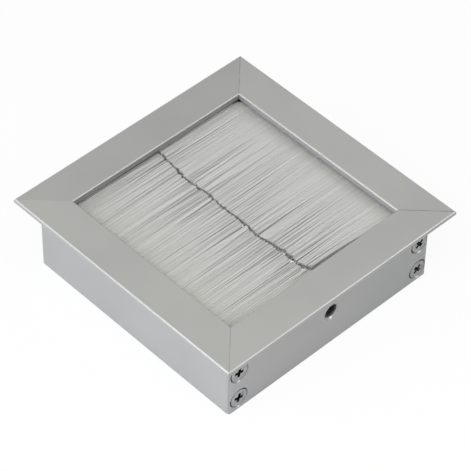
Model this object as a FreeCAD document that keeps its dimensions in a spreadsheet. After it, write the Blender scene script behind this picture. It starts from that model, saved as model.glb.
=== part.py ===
# Square brush cable grommet, 80 mm across, for a cut-out in a desk or panel.
# Four mitred lengths of one extruded section make the frame. Its flange lies on the panel and
# its skirt goes into the cut-out. Two strip brushes sit in the section's groove, and their
# bristles close the opening and give way to a cable. Countersunk screws through the right and
# left lengths bite the screw channels of the front and back lengths.
# Sizes are in millimetres. +Z is up, -Y is the front, and the origin is the middle of the
# skirt's bottom rim.
import FreeCAD, Part
import math
import os
import random
from types import SimpleNamespace

import Sketcher

Vector = FreeCAD.Vector
UP = Vector(0, 0, 1)

# Driving dimensions: alias, value, what it measures
DIMENSIONS = (
    ("flange_side", 80.0, "outside of the square flange"),
    ("flange_overhang", 4.4, "flange beyond the skirt, on each side"),
    ("overall_height", 23.3, "skirt rim to flange top"),
    ("flange_thickness", 1.3, "flange"),
    ("skirt_wall", 1.5, "skirt wall"),
    ("lip_thickness", 0.95, "lips at the mouth of the brush groove"),
    ("lip_reach", 0.75, "how far each lip reaches into the mouth"),
    ("shelf_thickness", 1.0, "shelf under the brush"),
    ("edge_radius", 0.55, "rounded top edges of the flange"),
    ("edge_break", 0.25, "softened edges of the skirt rim, flange underside and lip"),
    ("corner_radius", 1.3, "skirt corners, rounded after the mitres are joined"),
    ("channel_gap", 0.55, "shelf to the bore of the upper screw channel"),
    ("channel_bore", 2.4, "bore of a screw channel"),
    ("channel_wall", 1.1, "wall of a screw channel"),
    ("channel_mouth", 1.6, "slot along a screw channel"),
    ("screw_hole", 3.2, "clearance hole of a corner screw"),
    ("countersink", 6.3, "countersink at the skirt face"),
    ("countersink_angle", 90.0, "included angle, also of the screw head"),
    ("countersink_side_land", 0.45, "countersink to the side of the skirt"),
    ("countersink_rim_land", 0.8, "lower countersink to the skirt rim"),
    ("head_diameter", 5.3, "screw head"),
    ("head_rim", 0.3, "straight rim of the screw head"),
    ("head_seat_gap", 0.05, "head cone to countersink, along the screw"),
    ("screw_length", 13.0, "head top to point"),
    ("screw_point", 1.8, "point of the screw"),
    ("thread_clearance", 0.02, "screw to its bore, each side"),
    ("cross_span", 2.9, "cross recess over its wings"),
    ("cross_width", 0.95, "one wing of the cross recess"),
    ("cross_depth", 1.4, "cross recess"),
    ("cross_taper", 7.0, "draft of the recess walls, degrees"),
    ("side_hole", 4.1, "core of the tapped hole"),
    ("side_hole_chamfer", 0.4, "chamfer at the mouth of the tapped hole"),
    ("side_hole_drop", 1.7, "middle of the upper screw channel to that of the tapped hole"),
    ("set_screw_length", 5.0, "set screw"),
    ("set_screw_depth", 0.8, "skirt face to the set screw's cup"),
    ("set_screw_chamfer", 0.4, "chamfer at both ends of the set screw"),
    ("cup_rim", 0.28, "flat rim round the cup in the set screw's point"),
    ("socket_flats", 2.5, "hexagon socket across its flats"),
    ("socket_depth", 2.2, "hexagon socket"),
    ("holder_metal", 0.5, "sheet of the brush holder"),
    ("holder_room", 1.15, "spare room in the holder's fold, each side of the bristles"),
    ("holder_pinch", 0.9, "pinched mouth of the holder, past the fold of the bristles"),
    ("holder_fold", 0.4, "inner radius of the holder's folds"),
    ("holder_side_gap", 0.1, "holder to the walls of its groove"),
    ("brush_end_gap", 0.1, "each end of a strip brush to the side of the opening"),
    ("wire_diameter", 1.2, "core wire that the bristles are folded over"),
    ("root_layer", 0.5, "bristles packed round the core wire"),
    ("pack_thickness", 1.5, "bristle pack in the holder's mouth"),
    ("pack_clearance", 0.05, "bristles to the holder and the wire"),
    ("tuft_width", 1.25, "one tuft of bristles"),
    ("tuft_fan", 0.22, "how much a loose tuft stands over the pack"),
    ("tuft_taper", 7.0, "longest stretch over which a tuft thins out"),
    ("tip_gap", 0.3, "least gap between the tips of both brushes"),
    ("tip_spread", 0.75, "how uneven the tips are"),
    ("tip_line", -0.55, "mean place where the tips meet, near the middle of the opening"),
    ("tip_bow", 0.9, "how far the meeting line bends back at its ends"),
    ("tip_wave", 0.65, "height of the waves of the meeting line"),
    ("tip_wave_length", 28.0, "crest to crest of those waves, with one crest in the middle"),
)


class Size:
    """A size with its value now and the sheet expression that gives it."""

    def __init__(self, value, text):
        self.value = float(value)
        self.text = text

    def __add__(self, other):
        other = as_size(other)
        return Size(self.value + other.value, f"({self.text} + {other.text})")

    def __sub__(self, other):
        other = as_size(other)
        return Size(self.value - other.value, f"({self.text} - {other.text})")

    def __mul__(self, factor):
        return Size(self.value * factor, f"({self.text} * {factor})")

    def __truediv__(self, divisor):
        divisor = as_size(divisor)
        return Size(self.value / divisor.value, f"({self.text} / {divisor.text})")

    def __neg__(self):
        return Size(-self.value, f"(-{self.text})")


def as_size(number):
    """A plain number as a size, and a size as it is."""
    return number if isinstance(number, Size) else Size(number, str(number))


def half_angle_slope(angle):
    """How much a cone of this included angle, in degrees, widens on each side per length."""
    return Size(math.tan(math.radians(angle.value / 2)), f"tan({angle.text} / 2)")


def write_sheet():
    """Put the driving dimensions in the sheet and return them as sizes."""
    sheet = doc.addObject("Spreadsheet::Sheet", "Sizes")
    sizes = {}
    for row, (alias, value, note) in enumerate(DIMENSIONS, 1):
        sheet.set(f"A{row}", alias)
        sheet.set(f"B{row}", str(value))
        sheet.set(f"C{row}", note)
        sheet.setAlias(f"B{row}", alias)
        sizes[alias] = Size(value, f"Sizes.{alias}")
    doc.recompute()
    return SimpleNamespace(**sizes)


def bind(item, name, size):
    """Give a property its value and tie it to the sheet."""
    setattr(item, name, size.value)
    item.setExpression(name, size.text)


# Sketches

def new_body(name):
    """An empty body under the name of its sub-part."""
    body = doc.addObject("PartDesign::Body", name)
    body.Label = name
    return body


def origin_part(body, role):
    """The body's own origin plane or axis with this role."""
    return next(item for item in body.Origin.OriginFeatures if item.Role == role)


def new_sketch(body, name, role, offset=None):
    """A sketch on one of the body's origin planes, or at an offset along its normal."""
    sketch = body.newObject("Sketcher::SketchObject", name)
    sketch.AttachmentSupport = (origin_part(body, role), [""])
    sketch.MapMode = "FlatFace"
    if offset is not None:
        sketch.AttachmentOffset = FreeCAD.Placement(UP * offset.value, FreeCAD.Rotation())
        sketch.setExpression("AttachmentOffset.Base.z", offset.text)
    return sketch


def hold_value(sketch, size, kind, *places):
    """Add a dimension to the sketch and tie it to the sheet."""
    index = sketch.addConstraint(Sketcher.Constraint(kind, *places, size.value))
    sketch.setExpression(f"Constraints[{index}]", size.text)


def hold_point(sketch, geometry, vertex, x, y):
    """Hold a point of the sketch at its two sizes from the sketch's origin."""
    hold_value(sketch, x, "DistanceX", -1, 1, geometry, vertex)
    hold_value(sketch, y, "DistanceY", -1, 1, geometry, vertex)


def add_outline(sketch, corners):
    """A closed outline of straight lines, each corner held by its two sizes."""
    corners = [(as_size(x), as_size(y)) for x, y in corners]
    points = [Vector(x.value, y.value, 0) for x, y in corners]
    first = sketch.GeometryCount
    count = len(points)
    for index in range(count):
        sketch.addGeometry(Part.LineSegment(points[index], points[(index + 1) % count]))
    for index, (x, y) in enumerate(corners):
        following = first + (index + 1) % count
        sketch.addConstraint(Sketcher.Constraint("Coincident", first + index, 2, following, 1))
        hold_point(sketch, first + index, 1, x, y)


def add_circle(sketch, x, y, diameter):
    """A circle with its centre and diameter held."""
    x, y = as_size(x), as_size(y)
    circle = Part.Circle(Vector(x.value, y.value, 0), UP, diameter.value / 2)
    index = sketch.addGeometry(circle)
    hold_point(sketch, index, 3, x, y)
    hold_value(sketch, diameter, "Diameter", index)


def add_corner_waste(sketch, x, y, radius, side):
    """What rounding takes off a square corner at (x, y), on the right (1) or left (-1)."""
    centre_x = x - radius * side
    centre_y = y + radius
    corner = Vector(x.value, y.value, 0)
    along = Vector(centre_x.value, y.value, 0)
    up = Vector(x.value, centre_y.value, 0)
    centre = Vector(centre_x.value, centre_y.value, 0)
    turn = math.radians(-45 if side > 0 else -135)
    middle = centre + Vector(math.cos(turn), math.sin(turn), 0) * radius.value
    first = sketch.addGeometry(Part.LineSegment(along, corner))
    second = sketch.addGeometry(Part.LineSegment(corner, up))
    arc = sketch.addGeometry(Part.Arc(up, middle, along))
    ends = {True: 1, False: 2}
    start_is_up = sketch.getPoint(arc, 1).distanceToPoint(up) < sketch.getPoint(arc, 2).distanceToPoint(up)
    sketch.addConstraint(Sketcher.Constraint("Coincident", first, 2, second, 1))
    sketch.addConstraint(Sketcher.Constraint("Coincident", second, 2, arc, ends[start_is_up]))
    sketch.addConstraint(Sketcher.Constraint("Coincident", first, 1, arc, ends[not start_is_up]))
    hold_point(sketch, first, 1, centre_x, y)
    hold_point(sketch, second, 1, x, y)
    hold_point(sketch, second, 2, x, centre_y)
    hold_value(sketch, radius, "Radius", arc)


# Features

def add_pad(body, name, sketch, length, side_type="One side"):
    """Extrude a sketch by a length."""
    pad = body.newObject("PartDesign::Pad", name)
    pad.Profile = sketch
    pad.SideType = side_type
    bind(pad, "Length", length)
    doc.recompute()
    return pad


def add_cut(body, kind, name, sketch, **settings):
    """Cut the body by a sketch, and make sure that the cut took something away."""
    before = body.Shape.Volume
    cut = body.newObject(f"PartDesign::{kind}", name)
    cut.Profile = sketch
    for key, value in settings.items():
        if isinstance(value, Size):
            bind(cut, key, value)
        else:
            setattr(cut, key, value)
    doc.recompute()
    if cut.Shape.Volume > before - 1e-3:
        raise RuntimeError(f"{body.Label}: {name} cuts nothing")
    return cut


def add_revolution(body, name, sketch):
    """Turn a half section in the XZ plane round the body's Z axis."""
    turned = body.newObject("PartDesign::Revolution", name)
    turned.Profile = sketch
    turned.ReferenceAxis = (origin_part(body, "Z_Axis"), [""])
    turned.Angle = 360
    doc.recompute()
    return turned


def round_long_edges(body, name, corners, radius):
    """Fillet the edges along X that run through the given (y, z) corners of the section."""
    solid = body.Tip
    names = []
    for index, edge in enumerate(solid.Shape.Edges, 1):
        for y, z in corners:
            if all(math.hypot(v.Y - y.value, v.Z - z.value) < 1e-4 for v in edge.Vertexes):
                names.append(f"Edge{index}")
    fillet = body.newObject("PartDesign::Fillet", name)
    fillet.Base = (solid, names)
    bind(fillet, "Radius", radius)
    doc.recompute()
    return fillet


def place(item, base, rotation):
    """Put a sub-part at its three sizes, turned by a rotation."""
    base = [as_size(size) for size in base]
    item.Placement = FreeCAD.Placement(Vector(*(size.value for size in base)), rotation)
    for axis, size in zip("xyz", base):
        item.setExpression(f"Placement.Base.{axis}", size.text)


def quarter_turns(count):
    """A turn about the vertical by a number of right angles."""
    return FreeCAD.Rotation(UP, 90 * count)


doc = FreeCAD.newDocument("brush_cable_grommet")
S = write_sheet()

# What several pieces share. The brush sets the holder's size and the holder sets the groove's.
wrap_diameter = S.wire_diameter + (S.root_layer + S.pack_clearance) * 2
mouth_gap = S.pack_thickness + S.pack_clearance * 2
holder_width = wrap_diameter + (S.holder_metal + S.holder_room) * 2
holder_depth = S.holder_metal + S.pack_clearance + wrap_diameter + S.holder_pinch

# Distances out from the middle of the opening
flange_face = S.flange_side / 2
skirt_face = flange_face - S.flange_overhang
skirt_inside = skirt_face - S.skirt_wall
holder_back = skirt_inside - S.holder_side_gap
holder_mouth = holder_back - holder_depth
lip_inside = holder_mouth - S.holder_side_gap
mouth_face = lip_inside - S.lip_thickness
wire_line = holder_back - S.holder_metal - S.pack_clearance - wrap_diameter / 2
channel_line = skirt_face - S.countersink_side_land - S.countersink / 2

# Heights over the rim
channel_diameter = S.channel_bore + S.channel_wall * 2
flange_top = S.overall_height
flange_under = flange_top - S.flange_thickness
groove_height = holder_width + S.holder_side_gap * 2
brush_height = flange_under - groove_height / 2
shelf_top = flange_under - groove_height
shelf_under = shelf_top - S.shelf_thickness
lower_channel = S.countersink_rim_land + S.countersink / 2
upper_channel = shelf_under - S.channel_gap - S.channel_bore / 2
channel_heights = (lower_channel, upper_channel)
side_hole_height = upper_channel - S.side_hole_drop

head_slope = half_angle_slope(S.countersink_angle)
brush_length = (mouth_face - S.brush_end_gap) * 2


# Frame: each length is drawn as the front one, with its outside towards -Y

def section_corners():
    """The extruded section as (y, z) corners, without its screw channels."""
    return [
        (-flange_face, flange_under),
        (-flange_face, flange_top),
        (-mouth_face, flange_top),
        (-mouth_face, flange_under - S.lip_reach),
        (-lip_inside, flange_under - S.lip_reach),
        (-lip_inside, flange_under),
        (-skirt_inside, flange_under),
        (-skirt_inside, shelf_top),
        (-lip_inside, shelf_top),
        (-lip_inside, shelf_top + S.lip_reach),
        (-mouth_face, shelf_top + S.lip_reach),
        (-mouth_face, shelf_under),
        (-skirt_inside, shelf_under),
        (-skirt_inside, as_size(0)),
        (-skirt_face, as_size(0)),
        (-skirt_face, flange_under),
    ]


def add_screw_channels(body):
    """Two C-shaped channels behind the skirt wall, open towards the middle."""
    outside = new_sketch(body, "ChannelOutside", "YZ_Plane")
    bore = new_sketch(body, "ChannelBore", "YZ_Plane")
    mouth = new_sketch(body, "ChannelMouth", "YZ_Plane")
    inner_end = channel_line - channel_diameter / 2 - S.channel_wall
    for height in channel_heights:
        add_circle(outside, -channel_line, height, channel_diameter)
        add_circle(bore, -channel_line, height, S.channel_bore)
        add_outline(mouth, [
            (-channel_line, height - S.channel_mouth / 2),
            (-inner_end, height - S.channel_mouth / 2),
            (-inner_end, height + S.channel_mouth / 2),
            (-channel_line, height + S.channel_mouth / 2),
        ])
    add_pad(body, "Channels", outside, S.flange_side, "Symmetric")
    for name, sketch in (("ChannelBores", bore), ("ChannelMouths", mouth)):
        add_cut(body, "Pocket", name, sketch, SideType="Symmetric", Length=S.flange_side * 2)


def cut_mitres(body):
    """Cut both ends to 45 degrees: all that lies behind two lines from the middle goes."""
    sketch = new_sketch(body, "MitreWaste", "XY_Plane")
    add_outline(sketch, [
        (0, 0),
        (S.flange_side, -S.flange_side),
        (S.flange_side, S.flange_side),
        (-S.flange_side, S.flange_side),
        (-S.flange_side, -S.flange_side),
    ])
    add_cut(body, "Pocket", "Mitres", sketch, SideType="Symmetric", Length=S.overall_height * 4)


def round_skirt_corners(body):
    """Round the skirt's upright corners, up to the flange."""
    sketch = new_sketch(body, "CornerWaste", "XY_Plane")
    for side in (1, -1):
        add_corner_waste(sketch, skirt_face * side, -skirt_face, S.corner_radius, side)
    add_cut(body, "Pocket", "SkirtCorners", sketch, Length=flange_under, Reversed=True)


def drill_holes(body):
    """Four countersunk clearance holes, and the tapped hole between them."""
    corners = new_sketch(body, "CornerHoleCentres", "XZ_Plane", skirt_face)
    for side in (1, -1):
        for height in channel_heights:
            add_circle(corners, channel_line * side, height, S.screw_hole)
    doc.recompute()
    add_cut(body, "Hole", "CornerHoles", corners, DepthType="ThroughAll", Diameter=S.screw_hole,
            HoleCutType="Countersink", HoleCutDiameter=S.countersink,
            HoleCutCountersinkAngle=S.countersink_angle)
    middle = new_sketch(body, "SideHoleCentre", "XZ_Plane", skirt_face)
    add_circle(middle, 0, side_hole_height, S.side_hole)
    doc.recompute()
    add_cut(body, "Hole", "SideHole", middle, DepthType="ThroughAll", Diameter=S.side_hole,
            HoleCutType="Countersink", HoleCutDiameter=S.side_hole + S.side_hole_chamfer * 2,
            HoleCutCountersinkAngle=S.countersink_angle)


def build_frame_length(name, turns, has_holes):
    """One mitred length of the frame, turned to its side."""
    body = new_body(name)
    section = new_sketch(body, "Section", "YZ_Plane")
    add_outline(section, section_corners())
    add_pad(body, "Extrusion", section, S.flange_side, "Symmetric")
    round_long_edges(body, "FlangeEdges", [
        (-flange_face, flange_top),
        (-mouth_face, flange_top),
    ], S.edge_radius)
    round_long_edges(body, "SoftEdges", [
        (-flange_face, flange_under),
        (-mouth_face, flange_under - S.lip_reach),
        (-skirt_inside, as_size(0)),
        (-skirt_face, as_size(0)),
    ], S.edge_break)
    add_screw_channels(body)
    cut_mitres(body)
    round_skirt_corners(body)
    if has_holes:
        drill_holes(body)
    place(body, (0, 0, 0), quarter_turns(turns))
    return body


# Corner screws, drawn with the head's top at z = 0 and the point downwards

def head_drop():
    """Skirt face to the head's top, where the head's cone almost meets the countersink."""
    return (S.countersink - S.head_diameter) / 2 / head_slope - S.head_rim - S.head_seat_gap


def build_corner_screw(name, side, end, height, cross_turn):
    """A countersunk self-tapping screw in the right (1) or left (-1) face.

    end is 1 at the back and -1 at the front, and cross_turn turns its recess, in degrees.
    """
    body = new_body(name)
    shank = S.channel_bore / 2 - S.thread_clearance
    cone_height = (S.head_diameter / 2 - shank) / head_slope
    profile = new_sketch(body, "HalfSection", "XZ_Plane")
    add_outline(profile, [
        (0, 0),
        (S.head_diameter / 2, 0),
        (S.head_diameter / 2, -S.head_rim),
        (shank, -S.head_rim - cone_height),
        (shank, S.screw_point - S.screw_length),
        (0, -S.screw_length),
    ])
    add_revolution(body, "Blank", profile)
    recess = new_sketch(body, "CrossOutline", "XY_Plane")
    wing, half = S.cross_span / 2, S.cross_width / 2
    add_outline(recess, [
        (wing, -half), (wing, half), (half, half), (half, wing), (-half, wing), (-half, half),
        (-wing, half), (-wing, -half), (-half, -half), (-half, -wing), (half, -wing), (half, -half),
    ])
    add_cut(body, "Pocket", "CrossRecess", recess, Length=S.cross_depth,
            TaperAngle=-S.cross_taper)
    outwards = FreeCAD.Rotation(Vector(0, 1, 0), 90 * side)
    about_axis = FreeCAD.Rotation(UP, cross_turn)
    base = ((skirt_face - head_drop()) * side, channel_line * end, height)
    place(body, base, outwards.multiply(about_axis))
    return body


# Set screws, drawn with the cup at z = 0 and the socket downwards

def build_set_screw(name, side):
    """A socket set screw in the tapped hole of the right (1) or left (-1) face."""
    body = new_body(name)
    radius = S.side_hole / 2 - S.thread_clearance
    end_radius = radius - S.set_screw_chamfer
    cup_radius = end_radius - S.cup_rim
    profile = new_sketch(body, "HalfSection", "XZ_Plane")
    add_outline(profile, [
        (0, -cup_radius),
        (cup_radius, 0),
        (end_radius, 0),
        (radius, -S.set_screw_chamfer),
        (radius, S.set_screw_chamfer - S.set_screw_length),
        (end_radius, -S.set_screw_length),
        (0, -S.set_screw_length),
    ])
    add_revolution(body, "Blank", profile)
    socket = new_sketch(body, "SocketOutline", "XY_Plane", -S.set_screw_length)
    corner = S.socket_flats / math.sqrt(3)
    turns = [math.radians(60 * index) for index in range(6)]
    add_outline(socket, [(corner * math.cos(turn), corner * math.sin(turn)) for turn in turns])
    add_cut(body, "Pocket", "Socket", socket, Length=S.socket_depth, Reversed=True)
    base = ((skirt_face - S.set_screw_depth) * side, 0, side_hole_height)
    place(body, base, FreeCAD.Rotation(Vector(0, 1, 0), 90 * side))
    return body


# Strip brushes, drawn as the front one and turned for the back one

def build_holder(name, turns):
    """The folded strip, whose sides lean in and pinch the bristles at its mouth."""
    body = new_body(name)
    back, mouth, metal = -holder_back, -holder_mouth, S.holder_metal
    wide, narrow = holder_width / 2, mouth_gap / 2
    section = new_sketch(body, "Section", "YZ_Plane")
    add_outline(section, [
        (back, brush_height - wide),
        (mouth, brush_height - narrow - metal),
        (mouth, brush_height - narrow),
        (back + metal, brush_height - wide + metal),
        (back + metal, brush_height + wide - metal),
        (mouth, brush_height + narrow),
        (mouth, brush_height + narrow + metal),
        (back, brush_height + wide),
    ])
    add_pad(body, "Strip", section, brush_length, "Symmetric")
    round_long_edges(body, "OuterFolds", [
        (back, brush_height - wide),
        (back, brush_height + wide),
    ], S.holder_fold + metal)
    round_long_edges(body, "InnerFolds", [
        (back + metal, brush_height - wide + metal),
        (back + metal, brush_height + wide - metal),
    ], S.holder_fold)
    place(body, (0, 0, 0), quarter_turns(turns))
    return body


def build_core_wire(name, turns):
    """The wire that the bristles are folded over."""
    wire = doc.addObject("Part::Cylinder", name)
    wire.Label = name
    bind(wire, "Radius", S.wire_diameter / 2)
    bind(wire, "Height", brush_length)
    along_x = FreeCAD.Rotation(Vector(0, 1, 0), 90)
    back_or_front = 1 if turns else -1
    place(wire, (-brush_length / 2, wire_line * back_or_front, brush_height), along_x)
    return wire


def tip_line(x):
    """Where the tips of both brushes meet, at a place across the opening."""
    share = x / mouth_face.value
    wave = math.cos(x * 2 * math.pi / S.tip_wave_length.value)
    return S.tip_line.value + S.tip_bow.value * share ** 2 + S.tip_wave.value * wave


def tuft_section(x, y, width, thickness):
    """A tuft's six-sided outline across its bristles, flat below and crowned above."""
    crown_share, shoulder_share = 0.5, 0.45
    side, top = width / 2, thickness / 2
    crown, shoulder = side * crown_share, top * shoulder_share
    corners = [(side, -top), (side, shoulder), (crown, top),
               (-crown, top), (-side, shoulder), (-side, -top)]
    points = [Vector(x + dx, y, brush_height.value + dz) for dx, dz in corners]
    return Part.makePolygon(points + points[:1])


def build_tuft(x, tip, chance):
    """One tuft from the holder's mouth to its tip, which thins out and leans a little."""
    shortest_taper, lean_share, overlap = 0.35, 0.15, 1.06
    tip_width_share, tip_thickness_share = 0.45, 0.5
    width = S.tuft_width.value
    start = -(lip_inside.value - S.lip_thickness.value / 2)
    thickness = S.pack_thickness.value + 2 * S.tuft_fan.value * chance.random()
    taper = S.tuft_taper.value * chance.uniform(shortest_taper, 1.0)
    lean = lean_share * width * chance.uniform(-1, 1)
    wires = [
        tuft_section(x, start, width * overlap, thickness),
        tuft_section(x, tip - taper, width * overlap, thickness),
        tuft_section(x + lean, tip, width * tip_width_share, thickness * tip_thickness_share),
    ]
    return Part.makeLoft(wires, True, True)


def build_bristle_root():
    """The pack inside the holder: folded over the wire, then flat to beyond the mouth."""
    length = brush_length.value
    wire_y = -wire_line.value
    centre = Vector(-length / 2, wire_y, brush_height.value)
    along_x = Vector(1, 0, 0)
    wrap_radius = (wrap_diameter - S.pack_clearance * 2).value / 2 + S.pack_clearance.value
    wrap = Part.makeCylinder(wrap_radius, length, centre, along_x)
    thickness = S.pack_thickness.value
    low_corner = Vector(-length / 2, wire_y, brush_height.value - thickness / 2)
    flat = Part.makeBox(length, -mouth_face.value - wire_y, thickness, low_corner)
    wire_room = Part.makeCylinder(S.wire_diameter.value / 2 + S.pack_clearance.value, length,
                                  centre, along_x)
    return wrap.fuse(flat).cut(wire_room)


def build_bristles(name, turns, seed):
    """The bristles of one brush: a root along the holder and a row of uneven tufts."""
    chance = random.Random(seed)
    length = brush_length.value
    count = round(length / S.tuft_width.value)
    pitch = length / count
    way = -1 if turns else 1
    tufts = []
    for index in range(count):
        x = -length / 2 + pitch * (index + 0.5)
        meeting = way * tip_line(way * x)
        tip = meeting - S.tip_gap.value / 2 - S.tip_spread.value * chance.random()
        tufts.append(build_tuft(x, tip, chance))
    solid = build_bristle_root().multiFuse(tufts)
    bristles = doc.addObject("Part::Feature", name)
    bristles.Label = name
    bristles.Shape = solid.Solids[0] if len(solid.Solids) == 1 else solid
    place(bristles, (0, 0, 0), quarter_turns(turns))
    return bristles


def build_all():
    """Every sub-part of the grommet."""
    pieces = [
        build_frame_length("frame_front", 0, False),
        build_frame_length("frame_right", 1, True),
        build_frame_length("frame_back", 2, False),
        build_frame_length("frame_left", 3, True),
    ]
    # Each screw stopped at its own turn: side, end, level, degrees
    cross_turns = {
        (1, -1, 0): -13, (1, -1, 1): -10, (1, 1, 0): 45, (1, 1, 1): 40,
        (-1, -1, 0): 25, (-1, -1, 1): 70, (-1, 1, 0): 5, (-1, 1, 1): 52,
    }
    for (side, end, level), turn in cross_turns.items():
        side_name = "right" if side > 0 else "left"
        end_name = "back" if end > 0 else "front"
        level_name = "upper" if level else "lower"
        name = f"screw_{side_name}_{end_name}_{level_name}"
        pieces.append(build_corner_screw(name, side, end, channel_heights[level], turn))
    pieces.append(build_set_screw("set_screw_right", 1))
    pieces.append(build_set_screw("set_screw_left", -1))
    for place_name, turns, seed in (("front", 0, 11), ("back", 2, 23)):
        pieces.append(build_holder(f"brush_holder_{place_name}", turns))
        pieces.append(build_core_wire(f"core_wire_{place_name}", turns))
        pieces.append(build_bristles(f"bristles_{place_name}", turns, seed))
    return pieces


def check_and_write(pieces):
    """Stop on any failed object or unsound shape, then write one file for each sub-part."""
    doc.recompute()
    for item in doc.Objects:
        if "Invalid" in item.State or "Error" in item.State:
            raise RuntimeError(f"{item.Label} failed: {item.State}")
    for piece in pieces:
        shape = piece.Shape
        if shape.isNull() or not shape.isValid() or len(shape.Solids) != 1:
            raise RuntimeError(f"{piece.Label} is not one valid solid")
    os.makedirs("parts", exist_ok=True)
    for piece in pieces:
        piece.Shape.exportStep(f"parts/{piece.Label}.step")
        print(f"{piece.Label}: {piece.Shape.Volume:.1f} cubic mm")


check_and_write(build_all())
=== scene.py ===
"""Brush cable grommet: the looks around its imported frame.

Four mitred lengths of anodised aluminium section carry two strip brushes, whose nylon
filaments meet along a wavering line. Sizes in the classes are millimetres; meshes are metres.
"""

import logging
import math
import random
from dataclasses import dataclass, field
from enum import Enum

import bpy
from mathutils import Matrix, Vector


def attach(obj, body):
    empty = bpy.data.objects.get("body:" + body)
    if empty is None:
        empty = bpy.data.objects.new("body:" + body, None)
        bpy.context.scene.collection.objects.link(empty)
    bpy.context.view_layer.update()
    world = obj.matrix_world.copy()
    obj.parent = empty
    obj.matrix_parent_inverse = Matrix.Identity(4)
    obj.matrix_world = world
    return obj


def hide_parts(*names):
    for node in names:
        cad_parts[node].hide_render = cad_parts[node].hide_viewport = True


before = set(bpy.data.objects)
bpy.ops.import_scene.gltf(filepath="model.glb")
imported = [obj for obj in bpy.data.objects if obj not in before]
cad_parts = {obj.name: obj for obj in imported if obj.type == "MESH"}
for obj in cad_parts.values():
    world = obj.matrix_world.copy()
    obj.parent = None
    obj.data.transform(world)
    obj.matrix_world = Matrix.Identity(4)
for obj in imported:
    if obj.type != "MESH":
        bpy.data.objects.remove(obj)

MM = 0.001
BODY = "root"
# A noise pattern seldom leaves this band, so tones are spread over it
NOISE_LOW = 0.35
NOISE_HIGH = 0.65

log = logging.getLogger("grommet")

Point = tuple[float, float, float]
Span = tuple[float, float]
Links = dict[str | int, bpy.types.NodeSocket]


# Colours, nodes and meshes

def hex_colour(code: str) -> tuple[float, float, float, float]:
    """Turn an sRGB hex colour into Blender's linear one.

    Args:
        code: colour such as #B4B5B3.

    Returns:
        Linear red, green, blue and an alpha of 1.
    """
    channels = [int(code[start:start + 2], 16) / 255 for start in (1, 3, 5)]
    linear = [c / 12.92 if c <= 0.04045 else ((c + 0.055) / 1.055) ** 2.4 for c in channels]
    return (*linear, 1.0)


def add_node(tree: bpy.types.NodeTree, kind: str, options: dict[str, object] | None = None,
             values: dict[str | int, object] | None = None,
             links: Links | None = None) -> bpy.types.Node:
    """Add one node with its settings and links.

    Args:
        tree: node tree of a material, a lamp or the world.
        kind: Blender's name of the node type.
        options: properties of the node itself.
        values: values that stand on its input sockets.
        links: output sockets that feed its input sockets.

    Returns:
        The new node.
    """
    node = tree.nodes.new(kind)
    for name, option in (options or {}).items():
        setattr(node, name, option)
    for name, value in (values or {}).items():
        node.inputs[name].default_value = value
    for name, source in (links or {}).items():
        tree.links.new(source, node.inputs[name])
    return node


def add_ramp(tree: bpy.types.NodeTree, source: bpy.types.NodeSocket,
             stops: list[tuple[float, str]]) -> bpy.types.Node:
    """Add a colour ramp, whose stops are places from 0 to 1 with hex colours.

    Args:
        tree: node tree of the material.
        source: socket that gives the place on the ramp.
        stops: two or more places with their colours.

    Returns:
        The ramp node.
    """
    node = add_node(tree, "ShaderNodeValToRGB", links={"Fac": source})
    elements = node.color_ramp.elements
    while len(elements) < len(stops):
        elements.new(1.0)
    for element, (place, code) in zip(elements, stops):
        element.position = place
        element.color = hex_colour(code)
    return node


def new_material(name: str) -> tuple[bpy.types.Material, bpy.types.NodeTree]:
    """Make an empty node material.

    Args:
        name: what the material is.

    Returns:
        The material and its node tree.
    """
    material = bpy.data.materials.new(name)
    material.use_nodes = True
    material.node_tree.nodes.clear()
    return material, material.node_tree


def finish_surface(tree: bpy.types.NodeTree, shader: bpy.types.Node) -> None:
    """Join a shader node to a material output."""
    add_node(tree, "ShaderNodeOutputMaterial", links={"Surface": shader.outputs[0]})


def mesh_object(name: str, points: list[Point], faces: list[tuple[int, ...]],
                smooth: bool = True) -> bpy.types.Object:
    """Make a mesh object from points in millimetres.

    Args:
        name: name of the piece.
        points: corners in millimetres, in the frame's own axes.
        faces: corner numbers of each face.
        smooth: whether the faces are shaded smooth.

    Returns:
        The new object, linked to the scene.
    """
    mesh = bpy.data.meshes.new(name)
    mesh.from_pydata([(x * MM, y * MM, z * MM) for x, y, z in points], [], faces)
    mesh.validate()
    mesh.polygons.foreach_set("use_smooth", [smooth] * len(mesh.polygons))
    mesh.update()
    piece = bpy.data.objects.new(name, mesh)
    bpy.context.scene.collection.objects.link(piece)
    return piece


def dress_node(node: str, material: bpy.types.Material) -> None:
    """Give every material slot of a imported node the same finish."""
    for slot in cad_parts[node].material_slots:
        slot.material = material


def per_millimetre(size: float) -> float:
    """Scale that makes one cell of a pattern, in metres, this many millimetres wide."""
    return 1 / (size * MM)


# Finishes

class Grain(Enum):
    """The way that a section was drawn through its die."""

    ALONG_X = 0
    ALONG_Y = 1


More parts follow.
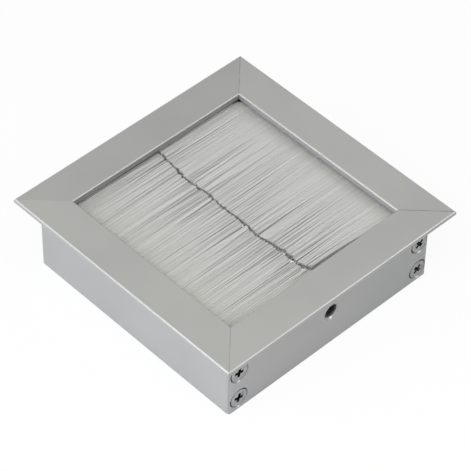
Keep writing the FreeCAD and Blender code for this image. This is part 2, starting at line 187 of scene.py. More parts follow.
@dataclass(frozen=True)
class SatinAnodisedAluminium:
    """Extruded aluminium, etched matt in caustic soda and clear anodised.

    To the eye it is an even, silky grey without sharp reflections, with a hint of die lines
    along the section and a hairline of shadow where two lengths meet. The countersinks, cut
    by a tool, shine more, and painted shade darkens the gap round each screw head.
    """

    grain: Grain
    # Which copy of the finish: the usual one, or one darkened as painted shade
    batch: str = "usual"
    colour: str = "#A9A9A8"
    cloud: str = "#A4A5A4"
    joint: str = "#2E2F2F"
    # Painted shade in the gap round each screw head
    head_gap: str = "#1C1C1D"
    # The matt oxide film scatters light of its own, so the surface is not all metal
    metallic: float = 0.55
    roughness: float = 0.36
    roughness_spread: float = 0.04
    # Real die lines are about 0.05 mm apart, too fine for the render, so they are coarser here
    line_width: float = 0.35
    line_length: float = 60.0
    etch_grain: float = 0.22
    relief_strength: float = 0.12
    relief_height: float = 0.02
    cloud_size: float = 24.0
    joint_width: float = 0.2
    joint_patch: float = 3.0
    joint_faintest: float = 0.5
    joint_full_at: float = 0.6
    # The corners are drawn together unequally: the hairline gains this much for each
    # millimetre to the right and to the back, so it is strong at the right corner of the
    # photograph and nearly gone at the left one
    joint_gain: Point = (0.0048, 0.0052, 0.0)
    joint_usual: float = 0.5
    # Countersinks and the tapped hole's rim are cut by a tool
    cut_roughness: float = 0.24
    cut_border: float = 0.05
    screw_row: float = 32.0
    screw_middle: float = 8.7
    screw_rise: float = 4.75
    countersink_radius: float = 3.2
    # The painted shade round each screw head starts at this radius and fades over this width
    head_radius: float = 2.72
    head_gap_width: float = 0.36
    hole_level: float = 11.75
    hole_radius: float = 2.8
    wall_from: float = 33.0

    def material(self) -> bpy.types.Material:
        """Build the material.

        Returns:
            The material for lengths with this grain.
        """
        name = f"satin_anodised_aluminium_{self.grain.name.lower()}_{self.batch}_batch"
        material, tree = new_material(name)
        place = add_node(tree, "ShaderNodeNewGeometry").outputs["Position"]
        lines = self.die_lines(tree, place)
        from_screw = self.from_axis(tree, place, self.screw_row, self.screw_middle,
                                    self.screw_rise)
        from_hole = self.from_axis(tree, place, 0.0, self.hole_level, 0.0)
        shader = add_node(tree, "ShaderNodeBsdfPrincipled", values={"Metallic": self.metallic},
                          links={"Base Color": self.tone(tree, place, from_screw),
                                 "Roughness": self.gloss(tree, lines, from_screw, from_hole),
                                 "Normal": self.relief(tree, place, lines)})
        finish_surface(tree, shader)
        return material

    def tone(self, tree: bpy.types.NodeTree, place: bpy.types.NodeSocket,
             from_screw: bpy.types.NodeSocket) -> bpy.types.NodeSocket:
        """The clouded grey, darker in the mitres, with painted shade in the gaps round the screw
        heads.

        Args:
            tree: node tree of the material.
            place: position on the part, in metres.
            from_screw: distance from the nearest screw's axis, in metres.

        Returns:
            Socket with the colour.
        """
        clouds = add_node(tree, "ShaderNodeTexNoise",
                          values={"Scale": per_millimetre(self.cloud_size), "Detail": 3.0},
                          links={"Vector": place})
        tone = add_ramp(tree, clouds.outputs["Fac"],
                        [(NOISE_LOW, self.cloud), (NOISE_HIGH, self.colour)]).outputs["Color"]
        # Painted shade in the gap between each screw head and its countersink
        gap = self.within(tree, from_screw, self.head_radius, self.head_gap_width)
        for dark, share in ((self.joint, self.mitre_line(tree, place)), (self.head_gap, gap)):
            mixed = add_node(tree, "ShaderNodeMix", {"data_type": "RGBA"},
                             {"B": hex_colour(dark)}, {"Factor": share, "A": tone})
            tone = mixed.outputs["Result"]
        return tone

    def gloss(self, tree: bpy.types.NodeTree, lines: bpy.types.NodeSocket,
              from_screw: bpy.types.NodeSocket,
              from_hole: bpy.types.NodeSocket) -> bpy.types.NodeSocket:
        """Satin along the die lines and brighter where a tool cut the section.

        Args:
            tree: node tree of the material.
            lines: height of the die lines, from 0 to 1.
            from_screw: distance from the nearest screw's axis, in metres.
            from_hole: distance from the tapped hole's axis, in metres.

        Returns:
            Socket with the roughness.
        """
        etched = add_node(tree, "ShaderNodeMapRange",
                          values={"To Min": self.roughness - self.roughness_spread,
                                  "To Max": self.roughness + self.roughness_spread},
                          links={"Value": lines})
        countersunk = self.within(tree, from_screw, self.countersink_radius, self.cut_border)
        drilled = self.within(tree, from_hole, self.hole_radius, self.cut_border)
        cut = add_node(tree, "ShaderNodeMath", {"operation": "MAXIMUM"},
                       links={0: countersunk, 1: drilled})
        rough = add_node(tree, "ShaderNodeMix", {"data_type": "FLOAT"},
                         {"B": self.cut_roughness},
                         {"Factor": cut.outputs["Value"], "A": etched.outputs["Result"]})
        return rough.outputs["Result"]

    def relief(self, tree: bpy.types.NodeTree, place: bpy.types.NodeSocket,
               lines: bpy.types.NodeSocket) -> bpy.types.NodeSocket:
        """The faint relief of the etched grain and the die lines.

        Args:
            tree: node tree of the material.
            place: position on the part, in metres.
            lines: height of the die lines, from 0 to 1.

        Returns:
            Socket with the bumped normal.
        """
        etch = add_node(tree, "ShaderNodeTexNoise",
                        values={"Scale": per_millimetre(self.etch_grain), "Detail": 2.0},
                        links={"Vector": place})
        height = add_node(tree, "ShaderNodeMath", {"operation": "ADD"},
                          links={0: lines, 1: etch.outputs["Fac"]})
        bump = add_node(tree, "ShaderNodeBump",
                        values={"Strength": self.relief_strength,
                                "Distance": self.relief_height * MM},
                        links={"Height": height.outputs["Value"]})
        return bump.outputs["Normal"]

    def die_lines(self, tree: bpy.types.NodeTree,
                  place: bpy.types.NodeSocket) -> bpy.types.NodeSocket:
        """Fine lines along the section, as 0 to 1.

        Args:
            tree: node tree of the material.
            place: position on the part, in metres.

        Returns:
            Socket with the height of the lines.
        """
        scale = [per_millimetre(self.line_width)] * 3
        scale[self.grain.value] = per_millimetre(self.line_length)
        stretched = add_node(tree, "ShaderNodeMapping", values={"Scale": scale},
                             links={"Vector": place})
        noise = add_node(tree, "ShaderNodeTexNoise", values={"Scale": 1.0, "Detail": 2.0},
                         links={"Vector": stretched.outputs["Vector"]})
        return noise.outputs["Fac"]

    def from_axis(self, tree: bpy.types.NodeTree, place: bpy.types.NodeSocket,
                  row: float, middle: float, rise: float) -> bpy.types.NodeSocket:
        """Distance from the nearest of a group of axes along X, in metres.

        Args:
            tree: node tree of the material.
            place: position on the part, in metres.
            row: distance of the axes from the middle of the face, in millimetres.
            middle: height midway between the axes, in millimetres.
            rise: distance of the axes above and below that height, in millimetres.

        Returns:
            Socket with the distance; away from the side walls it is large.
        """
        axes = add_node(tree, "ShaderNodeSeparateXYZ", links={"Vector": place})
        legs = []
        for axis, folded_at, reach in (("Y", 0.0, row), ("Z", middle, rise)):
            moved = add_node(tree, "ShaderNodeMath", {"operation": "SUBTRACT"},
                             {1: folded_at * MM}, {0: axes.outputs[axis]})
            folded = add_node(tree, "ShaderNodeMath", {"operation": "ABSOLUTE"},
                              links={0: moved.outputs["Value"]})
            legs.append(add_node(tree, "ShaderNodeMath", {"operation": "SUBTRACT"},
                                 {1: reach * MM}, {0: folded.outputs["Value"]}))
        across = add_node(tree, "ShaderNodeMath", {"operation": "ABSOLUTE"},
                          links={0: axes.outputs["X"]})
        # 1 away from the side walls, which is a metre there
        away = add_node(tree, "ShaderNodeMath", {"operation": "LESS_THAN"},
                        {1: self.wall_from * MM}, {0: across.outputs["Value"]})
        apart = add_node(tree, "ShaderNodeCombineXYZ",
                         links={"X": away.outputs["Value"], "Y": legs[0].outputs["Value"],
                                "Z": legs[1].outputs["Value"]})
        length = add_node(tree, "ShaderNodeVectorMath", {"operation": "LENGTH"},
                          links={0: apart.outputs["Vector"]})
        return length.outputs["Value"]

    def within(self, tree: bpy.types.NodeTree, distance: bpy.types.NodeSocket,
               radius: float, border: float) -> bpy.types.NodeSocket:
        """Tell what lies within a radius of an axis.

        Args:
            tree: node tree of the material.
            distance: distance from the axis, in metres.
            radius: the radius, in millimetres.
            border: width of the soft border outside it, in millimetres.

        Returns:
            Socket that is 1 within the radius and falls to 0 across the border.
        """
        share = add_node(tree, "ShaderNodeMapRange",
                         values={"From Min": radius * MM, "From Max": (radius + border) * MM,
                                 "To Min": 1.0, "To Max": 0.0},
                         links={"Value": distance})
        return share.outputs["Result"]

    def mitre_line(self, tree: bpy.types.NodeTree,
                   place: bpy.types.NodeSocket) -> bpy.types.NodeSocket:
        """A dark hairline, uneven along its length, where two lengths meet at 45 degrees.

        Args:
            tree: node tree of the material.
            place: position on the part, in metres.

        Returns:
            Socket that is near 1 in the joint and 0 elsewhere.
        """
        axes = add_node(tree, "ShaderNodeSeparateXYZ", links={"Vector": place})
        sides = [add_node(tree, "ShaderNodeMath", {"operation": "ABSOLUTE"},
                          links={0: axes.outputs[axis]}).outputs["Value"]
                 for axis in ("X", "Y")]
        apart = add_node(tree, "ShaderNodeMath", {"operation": "SUBTRACT"},
                         links={0: sides[0], 1: sides[1]})
        distance = add_node(tree, "ShaderNodeMath", {"operation": "ABSOLUTE"},
                            links={0: apart.outputs["Value"]})
        near = add_node(tree, "ShaderNodeMapRange",
                        values={"From Max": self.joint_width * MM, "To Min": 1.0, "To Max": 0.0},
                        links={"Value": distance.outputs["Value"]})
        uneven = add_node(tree, "ShaderNodeTexNoise",
                          values={"Scale": per_millimetre(self.joint_patch), "Detail": 1.0},
                          links={"Vector": place})
        patchy = add_node(tree, "ShaderNodeMapRange",
                          values={"From Min": NOISE_LOW, "From Max": self.joint_full_at,
                                  "To Min": self.joint_faintest},
                          links={"Value": uneven.outputs["Fac"]})
        opening = add_node(tree, "ShaderNodeVectorMath", {"operation": "DOT_PRODUCT"},
                           {1: [gain / MM for gain in self.joint_gain]}, {0: place})
        open_share = add_node(tree, "ShaderNodeMath",
                              {"operation": "ADD", "use_clamp": True},
                              {1: self.joint_usual}, {0: opening.outputs["Value"]})
        joined = add_node(tree, "ShaderNodeMath", {"operation": "MULTIPLY"},
                          links={0: near.outputs["Result"], 1: patchy.outputs["Result"]})
        shown = add_node(tree, "ShaderNodeMath", {"operation": "MULTIPLY"},
                         links={0: joined.outputs["Value"], 1: open_share.outputs["Value"]})
        return shown.outputs["Value"]


@dataclass(frozen=True)
class PlatedMetal:
    """Steel with a thin metal or oxide coat, slightly uneven in tone and in gloss.

    Bright nickel gives small screws crisp highlights, zinc a dull bluish grey with a faint
    spangle, and black oxide a dark satin.
    """

    name: str
    colour: str
    patch: str
    roughness: float
    roughness_spread: float
    patch_size: float
    relief_strength: float = 0.15
    relief_height: float = 0.01

    def material(self) -> bpy.types.Material:
        """Build the material.

        Returns:
            The material for pieces with this coat.
        """
        material, tree = new_material(self.name)
        place = add_node(tree, "ShaderNodeNewGeometry").outputs["Position"]
        patches = add_node(tree, "ShaderNodeTexNoise",
                           values={"Scale": per_millimetre(self.patch_size), "Detail": 4.0},
                           links={"Vector": place})
        tone = add_ramp(tree, patches.outputs["Fac"],
                        [(NOISE_LOW, self.patch), (NOISE_HIGH, self.colour)])
        rough = add_node(tree, "ShaderNodeMapRange",
                         values={"To Min": self.roughness - self.roughness_spread,
                                 "To Max": self.roughness + self.roughness_spread},
                         links={"Value": patches.outputs["Fac"]})
        bump = add_node(tree, "ShaderNodeBump",
                        values={"Strength": self.relief_strength,
                                "Distance": self.relief_height * MM},
                        links={"Height": patches.outputs["Fac"]})
        shader = add_node(tree, "ShaderNodeBsdfPrincipled", values={"Metallic": 1.0},
                          links={"Base Color": tone.outputs["Color"],
                                 "Roughness": rough.outputs["Result"],
                                 "Normal": bump.outputs["Normal"]})
        finish_surface(tree, shader)
        return material


NICKEL_PLATED_STEEL = PlatedMetal("nickel_plated_steel", "#ABABAD", "#8F8F92", 0.2, 0.06, 1.0)
BLACK_OXIDE_STEEL = PlatedMetal("black_oxide_steel", "#1E1E20", "#0F0F11", 0.34, 0.08, 0.8)
GALVANISED_STEEL = PlatedMetal("galvanised_steel", "#9EA2A5", "#8D9194", 0.42, 0.1, 1.6)


@dataclass(frozen=True)
class DrawnNylon:
    """Nylon filament, drawn through a die: pale grey, smooth and a little see-through.

    Each filament has its own tone, and the row of them gives the brush a fine silky streak.
    """

    pale: str = "#DADBDC"
    dark: str = "#B3B4B5"
    # Painted shade on the filaments' cut ends, which keeps the line where the tips meet dark
    cut: str = "#6E6E6C"
    roughness: float = 0.32
    roughness_spread: float = 0.06
    ior: float = 1.53
    # Tones from the darkest filament's up to 1; a cut end has the tone 0, which is painted shade
    darkest: float = 0.1
    tone_name: str = "filament_tone"

    def material(self) -> bpy.types.Material:
        """Build the material.

        Returns:
            The material for the filaments.
        """
        material, tree = new_material("drawn_nylon_filament")
        tone = add_node(tree, "ShaderNodeAttribute", {"attribute_name": self.tone_name})
        colour = add_ramp(tree, tone.outputs["Fac"],
                          [(0.0, self.cut), (self.darkest, self.dark), (1.0, self.pale)])
        rough = add_node(tree, "ShaderNodeMapRange",
                         values={"To Min": self.roughness + self.roughness_spread,
                                 "To Max": self.roughness - self.roughness_spread},
                         links={"Value": tone.outputs["Fac"]})
        shader = add_node(tree, "ShaderNodeBsdfPrincipled", values={"IOR": self.ior},
                          links={"Base Color": colour.outputs["Color"],
                                 "Roughness": rough.outputs["Result"]})
        finish_surface(tree, shader)
        return material


# Strip brushes

class Side(Enum):
    """The side of the opening that a brush grows from."""

    FRONT = -1
    BACK = 1


@dataclass
class TipLine:
    """The wavering line along which the tips of both brushes meet.

    It is nearly straight, bends back at both ends and wanders a little in between.
    """

    middle: float = -0.4
    end_rise: float = 1.55
    end_power: float = 4.5
    half_opening: float = 29.2
    # Size, length and crest of each wave, in millimetres
    waves: tuple[Point, ...] = ((0.25, 13.7, 3.0), (0.14, 33.0, -6.5))

    def at(self, x: float) -> float:
        """Where the tips meet, at a place across the opening."""
        share = min(1.0, abs(x) / self.half_opening)
        wander = sum(size * math.cos(2 * math.pi * (x - crest) / length)
                     for size, length, crest in self.waves)
        return self.middle + self.end_rise * share ** self.end_power + wander


@dataclass(frozen=True)
class ClumpHabit:
    """How filaments gather in clumps: the usual sizes and how much they vary.

    Widths, gaps and cut-back ends are in millimetres; shares are of the usual gap.
    """

    widths: tuple[float, ...]
    gap: float
    width_spread: Span = (0.85, 1.15)
    parts_between: Span = (0.0, 0.8)
    gap_shares: tuple[float, ...] = (0.2, 0.4, 0.7, 1.0, 1.8)
    shift_share: float = 0.4
    lift_share: float = 0.07
    cut_backs: tuple[float, ...] = (0.0, 0.0, 0.0, 0.05, 0.14, 0.34)
    roundings: Span = (0.0, 0.34)


WIDE_CLUMPS = ClumpHabit((0.9, 1.4, 1.9, 2.6, 3.6), 0.26)
FINE_CLUMPS = ClumpHabit((0.35, 0.5, 0.75, 1.1), 0.25)


@dataclass
class Clump:
    """Neighbouring filaments that cling together and part from the next ones near the tips."""

    left: float
    width: float
    parts_at: float
    gap: float
    shift: float
    lift: float
    short: float
    rounding: float

    def place(self, x: float) -> float:
        """Place across the clump, from -1 at its left edge to 1 at its right one."""
        return (x - self.left) / self.width * 2 - 1

    def opened(self, share: float) -> float:
        """How far the clump has parted from its neighbours, at a share of the way to the tip."""
        run = max(0.0, share - self.parts_at) / (1 - self.parts_at)
        return run * run * (3 - 2 * run)

    def sideways(self, x: float, share: float) -> float:
        """How far a filament of the clump has moved along the brush, in millimetres."""
        return (self.shift - self.place(x) * self.gap / 2) * self.opened(share)

    def cut_back(self, x: float) -> float:
        """How much shorter a filament is than the longest ones; a clump's end is rounded."""
        return self.short + self.rounding * self.place(x) ** 4


@dataclass
class StripBrush:
    """One strip brush: filaments folded over a core wire and held by a folded steel strip.

    Every filament is one tube, from its lower tip round the wire to its upper tip. They cling
    together in clumps a few millimetres wide, and within those in finer ones.
    """

    side: Side
    seed: int
    end_lean: float = 0.0
    length: float = 58.2
    height: float = 19.1
    wire_line: float = 32.3
    wire_room: float = 0.65
    mouth: float = 30.25
    filament: float = 0.2
    layers: int = 3
    spacing: float = 0.2
    layer_step: float = 0.17
    pack_thickness: float = 1.5
    loose_thickness: float = 1.86
    stray_thickness: float = 2.1
    loosens_over: float = 0.07
    near_mouth: float = 0.035
    tip_gap: float = 0.02
    tip_spread: float = 0.1
    lower_reach: float = 0.12
    cut_end: float = 0.25
    lean_reach: float = 9.0
    fan: float = 1.15
    fan_lift: float = 0.3
    fan_reach: float = 6.0
    fans_over: float = 0.03
    # What chance adds: places, drifts and lifts in millimetres, tones from 0 to 1
    place_spread: float = 0.012
    usual_drift: float = 0.05
    stray_share: float = 0.08
    stray_drift: float = 0.35
    stray_lift: Span = (0.08, 0.2)
    lift_spread: float = 0.035
    sway_spread: float = 0.03
    mean_tone: float = 0.6
    tone_spread: float = 0.14
    # A cut end is this much thinner than the filament
    end_share: float = 0.7
    tube_sides: int = 5
    fold_steps: int = 4
    top_steps: int = 10
    under_steps: int = 7
    inner_steps: int = 5
    tips: TipLine = field(default_factory=TipLine)

    @property
    def name(self) -> str:
        """Name of the brush's place."""
        return self.side.name.lower()

    def clumps(self, habit: ClumpHabit, chance: random.Random) -> list[Clump]:
        """Divide the brush into clumps of uneven width.

        Args:
            habit: usual sizes of the clumps and how much they vary.
            chance: seeded source of chance.

        Returns:
            The clumps from left to right.
        """
        clumps = []
        left = -self.length / 2
        while left < self.length / 2:
            width = chance.choice(habit.widths) * chance.uniform(*habit.width_spread)
            clumps.append(Clump(
                left=left,
                width=width,
                parts_at=chance.uniform(*habit.parts_between),
                gap=habit.gap * chance.choice(habit.gap_shares),
                shift=chance.gauss(0, habit.gap * habit.shift_share),
                lift=chance.gauss(0, habit.gap * habit.lift_share),
                short=chance.choice(habit.cut_backs),
                rounding=chance.uniform(*habit.roundings),
            ))
            left += width
        return clumps

    def leans(self, x: float, share: float) -> float:
        """How far the loose end of the brush leans in, at a share of the way to its tips."""
        near_end = max(0.0, x - self.length / 2 + self.lean_reach) / self.lean_reach
        return -self.end_lean * near_end ** 2 * (1 - (1 - share) ** 2)

    def fans(self, x: float, share: float) -> float:
        """How much the left end spreads into the empty groove beside it, from 0 to 1."""
        near_end = max(0.0, self.fan_reach - self.length / 2 - x) / self.fan_reach
        return near_end ** 1.5 * (1 - math.exp(-share / self.fans_over))

    def leg(self, x: float, level: float, steps: int, held_by: tuple[Clump, Clump],
            chance: random.Random) -> list[Point]:
        """One half of a filament, from the holder's mouth to its tip.

        Args:
            x: place along the brush, in millimetres.
            level: place in the pack, from -1 below to 1 above.
            steps: number of points, besides one near the mouth and one before the cut end.
            held_by: the wide and the fine clump that the filament belongs to.
            chance: seeded source of chance.

        Returns:
            The middle line of the leg, starting at the holder's mouth.
        """
        way = self.side.value
        tip = self.tips.at(x) * way + (self.tip_gap + abs(chance.gauss(0, self.tip_spread))) / 2
        tip += sum(clump.cut_back(x) for clump in held_by) - self.lower_reach * (1 - level) / 2
        is_stray = abs(level) == 1 and chance.random() < self.stray_share
        drift = chance.gauss(0, self.stray_drift if is_stray else self.usual_drift)
        z_mouth = level * (self.pack_thickness - self.filament) / 2
        z_loose = level * (self.loose_thickness - self.filament) / 2
        lift = sum(clump.lift for clump in held_by) + chance.gauss(0, self.lift_spread)
        lift += level * chance.uniform(*self.stray_lift) if is_stray else 0.0
        room = (self.stray_thickness - self.filament) / 2
        lift = max(-room - z_loose, min(room - z_loose, lift))
        sway = chance.gauss(0, self.sway_spread)
        shares = [step / (steps - 1) for step in range(steps)]
        shares.insert(1, self.near_mouth)
        shares.insert(-1, 1 - self.cut_end / (self.mouth - tip))
        points = []
        for share in shares:
            fanned = self.fans(x, share)
            moved = sum(clump.sideways(x, share) for clump in held_by)
            moved += self.leans(x, share) - self.fan * fanned
            moved += drift * share ** 2 + sway * math.sin(math.pi * share)
            loose = 1 - math.exp(-share / self.loosens_over)
            points.append((
                x + moved,
                way * (self.mouth + (tip - self.mouth) * share),
                self.height + z_mouth + (z_loose - z_mouth) * loose + lift * share
                + self.fan_lift * fanned,
            ))
        return points

    def fold(self, x: float, layer: int) -> list[Point]:
        """The bend of a filament round the core wire, from below to above."""
        radius = self.wire_room + self.filament / 2 + layer * self.layer_step
        turns = [math.pi * (step / self.fold_steps - 0.5) for step in range(self.fold_steps + 1)]
        return [(x, self.side.value * (self.wire_line + radius * math.cos(turn)),
                 self.height + radius * math.sin(turn)) for turn in turns]

    def tube(self, line: list[Point], points: list[Point],
             faces: list[tuple[int, ...]]) -> None:
        """Add a closed tube along a middle line, a little rounded at its cut ends.

        Args:
            line: points of the middle line, in millimetres.
            points: list that the tube's points go to.
            faces: list that the tube's faces go to.
        """
        first = len(points)
        across = Vector((1, 0, 0))
        turns = [2 * math.pi * index / self.tube_sides for index in range(self.tube_sides)]
        last = len(line) - 1
        for index, here in enumerate(line):
            ahead = Vector(line[min(index + 1, last)]) - Vector(line[max(index - 1, 0)])
            up = ahead.cross(across).normalized()
            sideways = up.cross(ahead).normalized()
            radius = self.filament / 2 * (self.end_share if index in (0, last) else 1)
            for turn in turns:
                offset = (sideways * math.cos(turn) + up * math.sin(turn)) * radius
                points.append((here[0] + offset.x, here[1] + offset.y, here[2] + offset.z))
        count = self.tube_sides
        for ring in range(last):
            base = first + ring * count
            for index in range(count):
                ahead_index = (index + 1) % count
                faces.append((base + index, base + ahead_index,
                              base + count + ahead_index, base + count + index))
        faces.append(tuple(range(first + count - 1, first - 1, -1)))
        end = first + last * count
        faces.append(tuple(range(end, end + count)))

    def build(self, finish: DrawnNylon) -> bpy.types.Object:
        """Build the filaments and put them in place of the packed bristles.

        Args:
            finish: finish of the filaments.

        Returns:
            The brush's filaments as one piece.
        """
        chance = random.Random(self.seed)
        clump_rows = [self.clumps(habit, chance) for habit in (WIDE_CLUMPS, FINE_CLUMPS)]
        points: list[Point] = []
        faces: list[tuple[int, ...]] = []
        tones: list[float] = []
        count = int((self.length - self.filament) / self.spacing)
        start = -(count - 1) * self.spacing / 2
        for layer in range(self.layers):
            level = (layer + 1) / self.layers
            is_outer = layer == self.layers - 1
            for index in range(count - layer % 2):
                x = start + (index + 0.5 * (layer % 2)) * self.spacing
                x += chance.gauss(0, self.place_spread)
                held_by = tuple(max((clump for clump in clumps if clump.left <= x),
                                    key=lambda clump: clump.left, default=clumps[0])
                                for clumps in clump_rows)
                lower = self.leg(x, -level, self.under_steps if is_outer else self.inner_steps,
                                 held_by, chance)
                upper = self.leg(x, level, self.top_steps if is_outer else self.inner_steps,
                                 held_by, chance)
                line = lower[::-1] + self.fold(x, layer) + upper
                self.tube(line, points, faces)
                tone = chance.gauss(self.mean_tone, self.tone_spread)
                tone = max(finish.darkest, min(1.0, tone))
                # The end rings of each filament get tone 0: painted shade on the cut ends
                cut = [0.0] * self.tube_sides
                tones += cut + [tone] * (len(line) - 2) * self.tube_sides + cut
        piece = mesh_object(f"filaments_{self.name}", points, faces)
        tone = piece.data.attributes.new(finish.tone_name, "FLOAT", "POINT")
        tone.data.foreach_set("value", tones)
        piece.data.materials.append(finish.material())
        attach(piece, BODY)
        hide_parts(f"bristles_{self.name}")
        log.info("%s: %d faces", piece.name, len(faces))
        return piece

    def dress_metal(self) -> None:
        """Give the folded holder and the core wire their zinc coat."""
        zinc = GALVANISED_STEEL.material()
        for node in (f"brush_holder_{self.name}", f"core_wire_{self.name}"):
            dress_node(node, zinc)
            log.info("%s: galvanised", node)


# Frame and fasteners

@dataclass
class MitredFrame:
    """The four lengths of section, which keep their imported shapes."""

    lengths: dict[str, SatinAnodisedAluminium] = field(default_factory=lambda: {
        "frame_front": SatinAnodisedAluminium(Grain.ALONG_X),
        "frame_right": SatinAnodisedAluminium(Grain.ALONG_Y),
        "frame_back": SatinAnodisedAluminium(Grain.ALONG_X),
        # The left length's colour and clouds are darker: painted shade where that length gets
        # less light
        "frame_left": SatinAnodisedAluminium(Grain.ALONG_Y, "darker", "#A3A3A2", "#9E9F9E"),
    })

    def dress(self) -> None:
        """Give each length its finish; lengths with the same one share a material."""
        materials = {finish: finish.material() for finish in set(self.lengths.values())}
        for node, finish in self.lengths.items():
            dress_node(node, materials[finish])
            log.info("%s: satin anodised", node)


@dataclass
class Fasteners:
    """The corner screws and the set screws."""

    sides: tuple[str, str] = ("right", "left")
    ends: tuple[str, str] = ("front", "back")
    levels: tuple[str, str] = ("lower", "upper")

    def dress(self) -> None:
        """Give the screws nickel and the set screws black oxide."""
        nickel = NICKEL_PLATED_STEEL.material()
        oxide = BLACK_OXIDE_STEEL.material()
        for side in self.sides:
            dress_node(f"set_screw_{side}", oxide)
            for end in self.ends:
                for level in self.levels:
                    dress_node(f"screw_{side}_{end}_{level}", nickel)
        log.info("fasteners: nickel and black oxide")


# Studio

@dataclass
class Lamp:
    """A soft rectangular lamp that points at the grommet."""

    name: str
    place: Point
    width: float
    watts: float
    colour: str = "#FFFFFF"
    aim: Point = (0.0, 0.0, 12.0)

    def build(self) -> None:
        """Add the lamp to the scene."""
        data = bpy.data.lights.new(self.name, "AREA")
        data.shape = "SQUARE"
        data.size = self.width * MM
        data.energy = self.watts
        data.color = hex_colour(self.colour)[:3]
        lamp = bpy.data.objects.new(self.name, data)
        place = Vector(self.place) * MM
        lamp.location = place
        lamp.rotation_mode = "QUATERNION"
        lamp.rotation_quaternion = (Vector(self.aim) * MM - place).to_track_quat("-Z", "Y")
        bpy.context.scene.collection.objects.link(lamp)


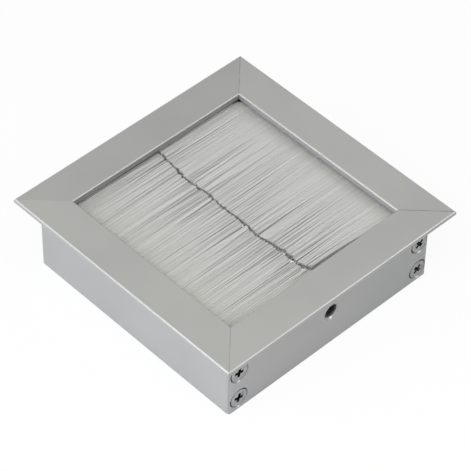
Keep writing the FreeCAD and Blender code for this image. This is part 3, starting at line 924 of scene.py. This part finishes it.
@dataclass
class Studio:
    """A pale floor, a white surround and soft lamps."""

    floor_half: float = 2500.0
    floor_colour: str = "#F0F2F7"
    floor_glow: float = 0.93
    # The skirt mirrors some of the floor's shade round its foot
    floor_gloss: float = 0.45
    surround: str = "#FFFFFF"
    surround_light: float = 0.22
    lamps: tuple[Lamp, ...] = (
        Lamp("window_left", (-303.0, -350.0, 410.0), 240.0, 0.5, "#FDFFF6"),
        Lamp("front", (20.0, -560.0, 290.0), 600.0, 1.95, "#F2F5FF"),
        Lamp("low_front", (-40.0, -620.0, 90.0), 260.0, 2.25, "#F2F4FF"),
        Lamp("window_right", (400.0, 302.0, 360.0), 300.0, 0.95, "#F7F7FF"),
        Lamp("overhead", (80.0, -80.0, 300.0), 220.0, 0.45, "#FFFCE4"),
    )

    def seen_directly(self, tree: bpy.types.NodeTree,
                      in_gloss: float = 1.0) -> bpy.types.NodeSocket:
        """A socket that is 1 for rays from the camera and through glass.

        Args:
            tree: node tree of the floor's material or the world.
            in_gloss: its value for rays that a glossy surface reflects.

        Returns:
            The socket.
        """
        path = add_node(tree, "ShaderNodeLightPath")
        gloss = add_node(tree, "ShaderNodeMath", {"operation": "MULTIPLY"},
                         {1: in_gloss}, {0: path.outputs["Is Glossy Ray"]})
        near = add_node(tree, "ShaderNodeMath", {"operation": "MAXIMUM"},
                        links={0: path.outputs["Is Camera Ray"], 1: gloss.outputs["Value"]})
        both = add_node(tree, "ShaderNodeMath", {"operation": "MAXIMUM"},
                        links={0: near.outputs["Value"],
                               1: path.outputs["Is Transmission Ray"]})
        return both.outputs["Value"]

    def build_floor(self) -> None:
        """Lay the floor under the skirt's rim; it keeps the part's soft shadow."""
        half = self.floor_half
        corners = [(-half, -half, 0.0), (half, -half, 0.0), (half, half, 0.0), (-half, half, 0.0)]
        floor = mesh_object("studio_floor", corners, [(0, 1, 2, 3)], smooth=False)
        material, tree = new_material("painted_studio_floor")
        seen = self.seen_directly(tree, self.floor_gloss)
        share = add_node(tree, "ShaderNodeMath", {"operation": "MULTIPLY"},
                         {1: self.floor_glow}, {0: seen})
        paint = add_node(tree, "ShaderNodeBsdfDiffuse",
                         values={"Color": hex_colour(self.floor_colour)})
        glow = add_node(tree, "ShaderNodeEmission")
        mixed = add_node(tree, "ShaderNodeMixShader",
                         links={0: share.outputs["Value"], 1: paint.outputs["BSDF"],
                                2: glow.outputs["Emission"]})
        finish_surface(tree, mixed)
        floor.data.materials.append(material)

    def build_surround(self) -> None:
        """Make the surround white to look at and softer as a light."""
        world = bpy.data.worlds.new("studio_surround")
        world.use_nodes = True
        bpy.context.scene.world = world
        tree = world.node_tree
        tree.nodes.clear()
        strength = add_node(tree, "ShaderNodeMapRange",
                            values={"To Min": self.surround_light},
                            links={"Value": self.seen_directly(tree)})
        white = add_node(tree, "ShaderNodeBackground",
                         values={"Color": hex_colour(self.surround)},
                         links={"Strength": strength.outputs["Result"]})
        add_node(tree, "ShaderNodeOutputWorld", links={"Surface": white.outputs[0]})

    def build(self) -> None:
        """Build the whole studio."""
        self.build_floor()
        self.build_surround()
        for lamp in self.lamps:
            lamp.build()
        bpy.context.scene.view_settings.view_transform = "Standard"
        log.info("studio: floor, surround and %d lamps", len(self.lamps))


@dataclass
class PhotoCamera:
    """The camera of the photograph: its direction in degrees, its distance in millimetres."""

    azimuth: float = 45.6
    elevation: float = 46.549
    roll: float = 1.172
    distance: float = 660.28
    aim: Point = (7.805, -7.219, 23.3)
    sensor: float = 36.0
    lens: float = 199.8

    def build(self) -> bpy.types.Object:
        """Add the camera and make it the scene's own.

        Returns:
            The camera.
        """
        a, e, r = (math.radians(angle) for angle in (self.azimuth, self.elevation, self.roll))
        back = Vector((math.sin(a) * math.cos(e), -math.cos(a) * math.cos(e), math.sin(e)))
        right = Vector((math.cos(a), math.sin(a), 0))
        up = back.cross(right)
        rolled_right = right * math.cos(r) + up * math.sin(r)
        rolled_up = up * math.cos(r) - right * math.sin(r)
        data = bpy.data.cameras.new("photo_camera")
        data.sensor_width = self.sensor
        data.lens = self.lens
        data.clip_start = 10 * MM
        data.clip_end = 20000 * MM
        camera = bpy.data.objects.new("photo_camera", data)
        turned = Matrix((rolled_right, rolled_up, back)).transposed().to_4x4()
        place = (Vector(self.aim) + back * self.distance) * MM
        camera.matrix_world = Matrix.Translation(place) @ turned
        bpy.context.scene.collection.objects.link(camera)
        bpy.context.scene.camera = camera
        return camera


def main() -> None:
    """Build the studio and dress the grommet, piece by piece."""
    logging.basicConfig(level=logging.INFO, format="%(name)s %(message)s")
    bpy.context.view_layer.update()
    PhotoCamera().build()
    Studio().build()
    MitredFrame().dress()
    Fasteners().dress()
    nylon = DrawnNylon()
    for side, seed, end_lean in ((Side.FRONT, 5, 0.0), (Side.BACK, 8, 2.6)):
        brush = StripBrush(side, seed, end_lean)
        brush.build(nylon)
        brush.dress_metal()


if __name__ == "__main__":
    main()
